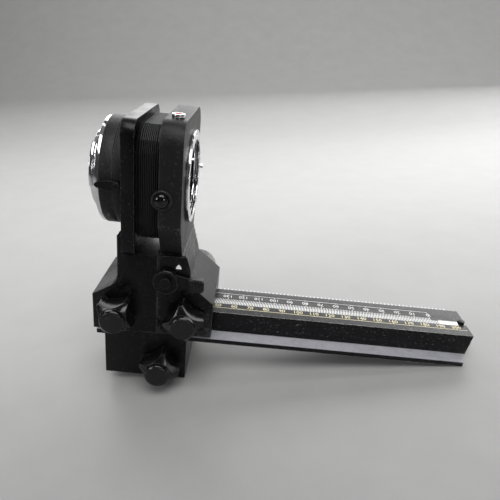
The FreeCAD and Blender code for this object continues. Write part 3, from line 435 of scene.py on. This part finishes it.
# ---------------------------------------------------------------- bellows
def pleated_bellows():
    """Eleven folds, packed closest in the middle where the blend stretches most."""
    low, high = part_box("bellows")
    start, end = low.x / MM, high.x / MM
    travel, folds, depth, cloth = 120.0, 11, 6.6, 0.22
    ridge_corner, valley_corner = 12.5, 6.0
    half_ridge, half_valley = 0.2, 0.06
    outer = ((high.y - low.y) / 2 / MM, (high.z - low.z) / 2 / MM)
    centre_z = (high.z + low.z) / 2 / MM

    def opened(t):
        return (end - start) * t + travel * t * t * (3 - 2 * t)

    def place(share):
        """The rest place of an even fold of the stretched bellows, drawn part way to even at rest."""
        a, b = 0.0, 1.0
        for _ in range(40):
            m = (a + b) / 2
            a, b = (m, b) if opened(m) < share * opened(1.0) else (a, m)
        return start + (end - start) * (0.65 * a + 0.35 * share)

    def section(inset, corner):
        """An eight-sided ring: half width, half height, and the corners cut by corner mm."""
        h, v = outer[0] - inset, outer[1] - inset
        ring = []
        for sy, sz in ((1, 1), (-1, 1), (-1, -1), (1, -1)):
            ends = [(sy * h, sz * (v - corner)), (sy * (h - corner), sz * v)]
            ends = ends if sy * sz > 0 else ends[::-1]
            for k in range(4):
                t = k / 3
                bulge = corner * 0.24 * math.sin(math.pi * t)
                ring.append((ends[0][0] * (1 - t) + ends[1][0] * t + sy * bulge * 0.7,
                             ends[0][1] * (1 - t) + ends[1][1] * t + sz * bulge * 0.7))
        return ring

    rows = [(start + 0.05, depth, valley_corner)]
    for k in range(2 * folds + 1):
        x = place(k / (2 * folds)) if 0 < k < 2 * folds else (start + 0.05, end - 0.05)[k > 0]
        inset, corner = ((0.35, ridge_corner), (depth, valley_corner))[k % 2]
        half = (half_ridge, half_valley)[k % 2]
        for dx, give in ((-half, 0.05), (half, 0.05)) if 0 < k < 2 * folds else ((0, 0),):
            rows.append((x + dx, inset + (-give if k % 2 else give), corner))
    rows.append((end - 0.05, depth, valley_corner))
    bm = bmesh.new()
    rings = [[bm.verts.new((x * MM, y * MM, (centre_z + z) * MM)) for y, z in section(inset, corner)]
             for x, inset, corner in rows]
    for one, two in zip(rings, rings[1:]):
        for k in range(len(one)):
            n = (k + 1) % len(one)
            bm.faces.new((one[k], one[n], two[n], two[k]))
    piece = add_piece("bellows_cloth", bm, None, LOOKS["bellows_cloth"], ["bellows"],
                      smooth=False)
    thick = piece.modifiers.new("thick", "SOLIDIFY")
    thick.thickness = cloth * MM
    thick.offset = -1
    made = bpy.data.meshes.new_from_object(piece.evaluated_get(bpy.context.evaluated_depsgraph_get()))
    piece.modifiers.clear()
    piece.data = made
    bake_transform(piece)


pleated_bellows()


# ---------------------------------------------------------------- the rail's printed scales
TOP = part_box("rail")[1].z
INK = 0.02 * MM


def write(name, text, x, y, height, look, turned=False):
    """A printed number centred on (x, y) mm on the rail's top."""
    curve = bpy.data.curves.new(name, "FONT")
    curve.body = text
    curve.size = height * 1.42 * MM
    curve.align_x, curve.align_y = "CENTER", "CENTER"
    curve.extrude = INK / 2
    curve.resolution_u = 3
    holder = bpy.data.objects.new(name + "_text", curve)
    bpy.context.collection.objects.link(holder)
    bpy.context.view_layer.update()
    mesh = bpy.data.meshes.new_from_object(holder.evaluated_get(bpy.context.evaluated_depsgraph_get()))
    bpy.data.objects.remove(holder)
    mesh.transform(Matrix.Translation((x * MM, y * MM, TOP + INK / 2))
                   @ Matrix.Rotation(math.pi * turned, 4, "Z"))
    piece = bpy.data.objects.new(name, mesh)
    bpy.context.collection.objects.link(piece)
    paint(piece, look)
    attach(piece, "rail")


def print_scales():
    """Ticks, lines and numbers of both scales, in mm along the rail."""
    near_zero, far_zero = -9.0, 176.5
    rail_start = -30.0
    near_numbers, far_numbers, number_height = -6.3, 5.9, 2.9
    flat = Matrix.Translation((0, 0, TOP)) @ Matrix.Scale(MM, 4)
    bars = {"near_ticks": (bmesh.new(), WHITE_INK), "far_ticks": (bmesh.new(), WHITE_INK),
            "near_line": (bmesh.new(), YELLOW_INK), "far_line": (bmesh.new(), WHITE_INK)}

    def bar(name, x0, x1, y0, y1, slant=0.0):
        slab(bars[name][0], [(x0, y0), (x1, y0), (x1 + slant, y1), (x0 + slant, y1)], 0, INK / MM, flat)

    for reading in range(0, 191):
        x = near_zero + reading
        if x > rail_start:
            bar("near_ticks", x - 0.27, x + 0.27, -3.9, -0.2, 0.35)
    for reading in range(0, 206):
        x = far_zero - reading
        if x > rail_start:
            bar("far_ticks", x - 0.17, x + 0.17, -0.2, 2.2 if reading % 10 else 3.3, 0.35)
    bar("near_ticks", 181.5, 193.5, -3.9, 0.6, 0.4)
    bar("near_line", -30.5, 197.0, -9.1, -8.75)
    bar("far_line", -30.5, far_zero, 9.0, 9.3)
    slab(bars["far_line"][0], [(far_zero - 0.2, 9.3), (far_zero + 0.2, 9.3),
                               (far_zero + 1.7, 4.4), (far_zero + 1.3, 4.4)], 0, INK / MM, flat)
    for reading in range(10, 201, 10):
        bar("near_line", near_zero + reading - 0.2, near_zero + reading + 0.2, -8.75, -8.1)
        bar("far_line", far_zero - reading - 0.2, far_zero - reading + 0.2, 8.4, 9.0)
        write(f"near_{reading}", str(reading), near_zero + reading, near_numbers, number_height,
              YELLOW_INK)
        write(f"far_{reading}", str(reading), far_zero - reading, far_numbers, number_height,
              WHITE_INK, turned=True)
    write("far_0", "0", far_zero, far_numbers, number_height, WHITE_INK, turned=True)
    for name, (bm, look) in bars.items():
        add_piece(f"scale_{name}", bm, "rail", look, smooth=False)


print_scales()


# ---------------------------------------------------------------- knobs, screws and small parts
def drive_knob(name, body):
    """Knurled cylinder with chamfered ends, a dished face and a smooth neck."""
    low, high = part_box(name)
    centre = Vector(((low.x + high.x) / 2, low.y, (low.z + high.z) / 2))
    r, length = (high.x - low.x) / 2 / MM, (high.y - low.y) / MM
    tooth_pairs, tooth_depth = 24, 0.8
    # radius, height and whether the row is knurled
    rows = [(2.1, 0.9, 0), (r - 3.4, 0.9, 0), (r - 3.0, 0.0, 0), (r - 1.3, 0.0, 0), (r - 0.75, 0.5, 0),
            (r - 0.7, 2.2, 0), (r, 2.9, 1), (r, length - 1.3, 1), (r - 0.7, length - 0.6, 0),
            (r - 1.3, length - 0.1, 0), (r - 1.9, length, 0), (r - 3.1, length, 0),
            (r - 3.5, length - 0.5, 0), (r - 7.0, length - 0.8, 0), (r - 7.3, length - 0.4, 0),
            (0, length - 0.3, 0)]

    def knurl(a, radius, row):
        return radius - rows[row][2] * tooth_depth * abs(math.sin(a * tooth_pairs)) ** 0.8

    bm = bmesh.new()
    lathe(bm, [(radius, height) for radius, height, _ in rows], place_on(centre, (0, 1, 0)),
          12 * tooth_pairs, knurl)
    piece = add_piece(name + "_turned", bm, body, LOOKS["knob_black"], [name])
    piece.data.set_sharp_from_angle(angle=math.radians(38))


for stem in ("stage", "rear", "front"):
    drive_knob(f"{stem}_drive_knob", f"{stem}_drive")


def screw_head(bm, centre, axis, radius, height, spin=0.4):
    """A cheese head with a cross recess."""
    at = place_on(centre, axis, spin)
    arm, reach, steps = radius * 0.2, radius * 0.62, 40

    def point(k, ring):
        return Vector((math.cos(k) * ring, math.sin(k) * ring, 0))

    lathe(bm, [(radius, 0), (radius, height * 0.72), (radius * 0.9, height * 0.95),
               (radius * 0.72, height)], at, steps)
    outline = [(arm, arm), (arm, reach), (-arm, reach), (-arm, arm), (-reach, arm), (-reach, -arm),
               (-arm, -arm), (-arm, -reach), (arm, -reach), (arm, -arm), (reach, -arm), (reach, arm)]
    rim = [bm.verts.new(at @ (point(2 * math.pi * k / steps, radius * 0.72) + Vector((0, 0, height))))
           for k in range(steps)]
    edge = [bm.verts.new(at @ Vector((x, y, height))) for x, y in outline]
    base = [bm.verts.new(at @ Vector((x * 0.8, y * 0.8, height * 0.35))) for x, y in outline]
    count = len(outline)
    for k in range(count):
        n = (k + 1) % count
        bm.faces.new((edge[k], base[k], base[n], edge[n]))
    bm.faces.new(base)
    loops = [bm.edges.new((rim[k], rim[(k + 1) % steps])) for k in range(steps)]
    loops += [bm.edges.get((edge[k], edge[(k + 1) % count])) for k in range(count)]
    bmesh.ops.triangle_fill(bm, use_beauty=True, use_dissolve=False, edges=loops)


def screws(name, body, axis, look):
    """Replaces each cylinder of a CAD screw node by a cross head of the same size."""
    bm = bmesh.new()
    along = max(range(3), key=lambda i: abs(axis[i]))
    for low, high in islands(name):
        centre = (low + high) / 2
        size = high - low
        across = [size[i] for i in range(3) if i != along]
        centre[along] = low[along] if axis[along] > 0 else high[along]
        screw_head(bm, centre, axis, min(across) / 2 / MM, size[along] / MM)
    add_piece(name + "_heads", bm, body, look, [name], smooth=False)


screws("camera_mount_screws", "camera_turret", (-1, 0, 0), LOOKS["steel"])
screws("lens_mount_screws", "front_standard", (1, 0, 0), LOOKS["steel"])


def dome_button():
    """The lens release: a turned rim under a polished dome."""
    low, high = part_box("lens_release_button")
    tip, foot = low.y / MM, high.y / MM
    centre = Vector(((low.x + high.x) / 2, 0, (low.z + high.z) / 2))
    radius, rise, stem, steps = 4.0, 2.6, 1.3, 12
    dome = [(radius * math.cos(a), -tip - rise + rise * math.sin(a))
            for a in (math.pi / 2 * k / steps for k in range(steps))]
    bm = bmesh.new()
    lathe(bm, [(0, -foot), (stem, -foot), (stem, -tip - 3.9), (radius - 0.3, -tip - 3.9),
               (radius, -tip - 3.6), *dome, (0, -tip)], place_on(centre, (0, -1, 0)), 64)
    add_piece("release_dome", bm, "lens_release", GLOSS_BLACK, ["lens_release_button"])


dome_button()


def socket_ring():
    """The red ring inside the cable socket's chromed rim, round a dark bore."""
    low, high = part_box("cable_socket")
    centre = Vector(((low.x + high.x) / 2, (low.y + high.y) / 2, high.z))
    r = (high.x - low.x) / 2 / MM
    ring = bmesh.new()
    lathe(ring, [(1.25, -0.35), (1.45, -0.03), (r - 1.1, -0.03), (r - 0.85, -0.3)],
          place_on(centre, (0, 0, 1)), 64)
    add_piece("socket_red_ring", ring, "front_standard", LOOKS["red_ring"])


socket_ring()


def stop_down():
    """Round hub with a raised rim, a tapered arm and a ribbed finger end."""
    x, z = 11.9, 69.0  # the lever's pivot
    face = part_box("lever_housing")[0].y / MM
    low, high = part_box("stop_down_lever")
    out, tip = low.y / MM, high.x / MM
    at = (Matrix.Translation((x * MM, 0, z * MM)) @ Matrix.Rotation(math.pi / 2, 4, "X")
          @ Matrix.Scale(MM, 4))
    bm = bmesh.new()
    base = -face + 0.3
    lathe(bm, [(0, base - 1.9), (1.6, base - 1.9), (1.6, base), (7.0, base), (7.4, base + 0.4),
               (7.4, base + 2.8), (7.0, base + 3.3), (6.3, base + 3.3), (6.0, base + 2.9),
               (5.8, base + 2.2), (2.6, base + 2.2), (2.4, base + 2.7), (0, base + 2.9)], at, 72)
    piece = add_piece("stop_down_hub", bm, "stop_down", LOOKS["black_paint"],
                      ["stop_down_lever"])
    piece.data.set_sharp_from_angle(angle=math.radians(35))
    reach, end = tip - x, 3.9
    arm = bmesh.new()
    slab(arm, [(3.0, 5.6), (reach - 8.0, 3.4), (reach - 1.0, 3.4), (reach - 1.0, -3.2),
               (reach - 8.0, -3.2), (3.0, -5.2)], base + 0.3, 2.0, at)
    head = [(reach - 8.6, end - 0.9), (reach - 7.9, end), (reach - 1.2, end), (reach, end - 1.2),
            (reach, -end + 1.2), (reach - 1.2, -end), (reach - 7.9, -end), (reach - 8.6, -end + 0.9)]
    slab(arm, head, base + 0.2, -out - base - 0.65, at)
    piece = add_piece("stop_down_arm", arm, "stop_down", LOOKS["black_paint"])
    round_edges(piece, 0.5)
    ribs = bmesh.new()
    for k in range(6):
        u = reach - 7.6 + 1.2 * k
        slab(ribs, [(u, -end + 0.4), (u + 0.65, -end + 0.4), (u + 0.65, end - 0.4), (u, end - 0.4)],
             -out - 0.5, 0.5, at)
    piece = add_piece("stop_down_ribs", ribs, "stop_down", LOOKS["black_paint"])
    round_edges(piece, 0.12, segments=2)
    mark = bmesh.new()
    foot = 76.7 - z
    outline = [(16.9 - x, foot), (20.1 - x, foot), (19.8 - x, foot + 1.2), (19.1 - x, foot + 2.2),
               (18.5 - x, foot + 2.7), (17.9 - x, foot + 2.2), (17.2 - x, foot + 1.2)]
    slab(mark, outline, -face, 0.05, at)
    add_piece("index_mark", mark, "front_standard", WHITE_INK, smooth=False)


stop_down()


def turret_catch():
    """A small pointed tab that holds the turret, rounded about its pivot so that it can turn."""
    low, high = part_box("turret_lock_lever")
    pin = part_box("turret_lock_pivot")
    pivot = (pin[0].x + pin[1].x) / 2 / MM
    at = Matrix.Rotation(math.pi / 2, 4, "X") @ Matrix.Scale(MM, 4)
    face, out = -high.y / MM, -low.y / MM
    mid, tip = (low.z + high.z) / 2 / MM, low.x / MM
    radius = 2.35  # clears the frame behind as the tab turns
    end = [(pivot + radius * math.cos(math.radians(a)), mid + radius * math.sin(math.radians(a)))
           for a in range(90, -91, -15)]
    bm = bmesh.new()
    slab(bm, [(tip, mid + 0.6), (tip + 1.6, mid + 2.0), (pivot - 4.2, mid + 2.9),
              (pivot - 2.2, mid + 2.8), *end, (pivot - 2.4, mid - 2.5), (pivot - 4.2, mid - 2.6),
              (tip + 1.2, mid - 1.4), (tip, mid - 0.5)], face, out - face + 0.8, at)
    piece = add_piece("turret_catch", bm, "turret_lock", LOOKS["black_paint"],
                      ["turret_lock_lever"])
    round_edges(piece, 0.3)


turret_catch()


def drum_screws():
    """Two grub screws let into the lower near side of the turret."""
    def hexagon(t, radius, row):
        return radius * (1 if row < 3 else 0.9 / math.cos((t % (math.pi / 3)) - math.pi / 6))

    a = math.radians(-41)
    out = Vector((0, -math.cos(a), math.sin(a)))
    for name, x, body in (("drum_grub", -21.3, "camera_turret"),
                          ("collar_grub", -14.2, "rear_standard")):
        bm = bmesh.new()
        lathe(bm, [(1.5, -0.6), (1.5, 0.0), (1.25, 0.08), (0.8, 0.08), (0.75, -0.5), (0, -0.55)],
              place_on(Vector((x * MM, 0, 0.1225)) + out * 0.0299, out), 6 * 8, hexagon)
        add_piece(name, bm, body, LOOKS["steel"], smooth=False)


drum_screws()


def slope_ribs():
    """Level ridges across the steep upper part of the lens standard's front."""
    top, crease = Vector((19.7, 84.0)), Vector((24.2, 66.3))
    down = (crease - top).normalized()
    out = Vector((-down.y, down.x))
    bm = bmesh.new()
    at = Matrix(((MM, 0, 0, 0), (0, 0, -MM, 0), (0, MM, 0, 0), (0, 0, 0, 1)))
    for start, width in ((0.5, 1.9), (3.7, 1.9), (6.9, 1.9), (10.1, 6.4)):
        a, b = top + down * start, top + down * (start + width)
        ridge = [a - out * 0.1, b - out * 0.1, b + out * 0.25 - down * 0.3, a + out * 0.25 + down * 0.3]
        slab(bm, [(c.x, c.y) for c in ridge], -24.6, 49.2, at)
    piece = add_piece("slope_ribs", bm, "front_standard", LOOKS["black_paint"])
    round_edges(piece, 0.15, segments=2)


slope_ribs()


# ---------------------------------------------------------------- floor, light, camera
# The object is set down tipped forward: on the stage's front lower edge and the rail's far end.
TIP = math.atan2(0.0243, 0.195 - 0.0245)


def sweep(name, width, near, bend, radius, height):
    """A floor that curves up into a backdrop on the far side."""
    line = [(-near, 0.0), (0.0, 0.0)]
    line += [(bend + radius * math.sin(a), radius * (1 - math.cos(a)))
             for a in (math.radians(d) for d in range(0, 91, 5))]
    line += [(bend + radius, height)]
    bm = bmesh.new()
    rows = [[bm.verts.new((side, y, z)) for y, z in line] for side in (-width, width)]
    for k in range(len(line) - 1):
        bm.faces.new((rows[0][k], rows[1][k], rows[1][k + 1], rows[0][k + 1]))
    mesh = bpy.data.meshes.new(name)
    bm.to_mesh(mesh)
    bm.free()
    for face in mesh.polygons:
        face.use_smooth = True
    made = bpy.data.objects.new(name, mesh)
    made.location = (0.0245, 0, -0.0002)
    made.rotation_euler = (0, -TIP, 0)
    bpy.context.collection.objects.link(made)
    return made


floor_look = Shader("pale_floor")
speck = floor_look.noise(30, 4)
floor_look.finish(floor_look.ramp(speck, (0.3, (0.33, 0.329, 0.326)), (0.7, (0.35, 0.349, 0.346))), 0.42,
                  floor_look.bump(floor_look.noise(900, 2), 0.08, 0.0002), specular_ior_level=0.4)
floor = sweep("floor", 6.0, 5.0, 0.75, 0.8, 4.0)
paint(floor, floor_look.material)

world = bpy.data.worlds.new("studio")
bpy.context.scene.world = world
world.use_nodes = True
sky = world.node_tree
way = sky.nodes.new("ShaderNodeTexCoord")
split = sky.nodes.new("ShaderNodeSeparateXYZ")
sky.links.new(way.outputs["Generated"], split.inputs[0])
shade = sky.nodes.new("ShaderNodeMapRange")
for socket, value in (("From Min", -0.6), ("From Max", 0.75), ("To Min", 0.05), ("To Max", 0.3)):
    shade.inputs[socket].default_value = value
sky.links.new(split.outputs["Y"], shade.inputs["Value"])
sky.nodes["Background"].inputs["Color"].default_value = (0.97, 0.985, 1.0, 1)
sky.links.new(shade.outputs["Result"], sky.nodes["Background"].inputs["Strength"])


def softbox(name, place, aim, size, power):
    lamp = bpy.data.lights.new(name, "AREA")
    lamp.shape = "RECTANGLE"
    lamp.size, lamp.size_y = size
    lamp.energy = power
    made = bpy.data.objects.new(name, lamp)
    made.location = place
    made.rotation_euler = (Vector(aim) - Vector(place)).to_track_quat("-Z", "Y").to_euler()
    made.visible_camera = False
    bpy.context.collection.objects.link(made)


softbox("overhead", (0.05, -0.36, 1.0), (0.05, 0.0, 0.05), (0.85, 0.6), 8)
softbox("on_backdrop", (0.3, 0.3, 0.75), (0.3, 1.4, 0.12), (2.4, 0.5), 16)
softbox("far_panel", (0.1, 0.92, 0.6), (0.1, 0.0, 0.42), (2.3, 0.84), 15)
softbox("left", (-0.78, -0.64, 0.40), (0, 0, 0.1), (0.36, 0.36), 2.8)
softbox("right", (0.56, -0.85, 0.42), (0, 0, 0.1), (0.26, 0.26), 1.6)
bpy.context.scene.view_settings.view_transform = "Standard"

lens = bpy.data.cameras.new("camera")
lens.sensor_width = 36.0
lens.lens = 35.62
lens.clip_start = 0.01
camera = bpy.data.objects.new("camera", lens)
right, up, look = (0.99519, 0.02388, 0.09504), (-0.09648, 0.40830, 0.90773), (0.01713, 0.91253, -0.40864)
camera.matrix_world = Matrix.Translation((0.05216, -0.27302, 0.20238)) @ Matrix(
    [(right[i], up[i], -look[i]) for i in range(3)]).to_4x4()
bpy.context.collection.objects.link(camera)
bpy.context.scene.camera = camera

bpy.context.view_layer.update()
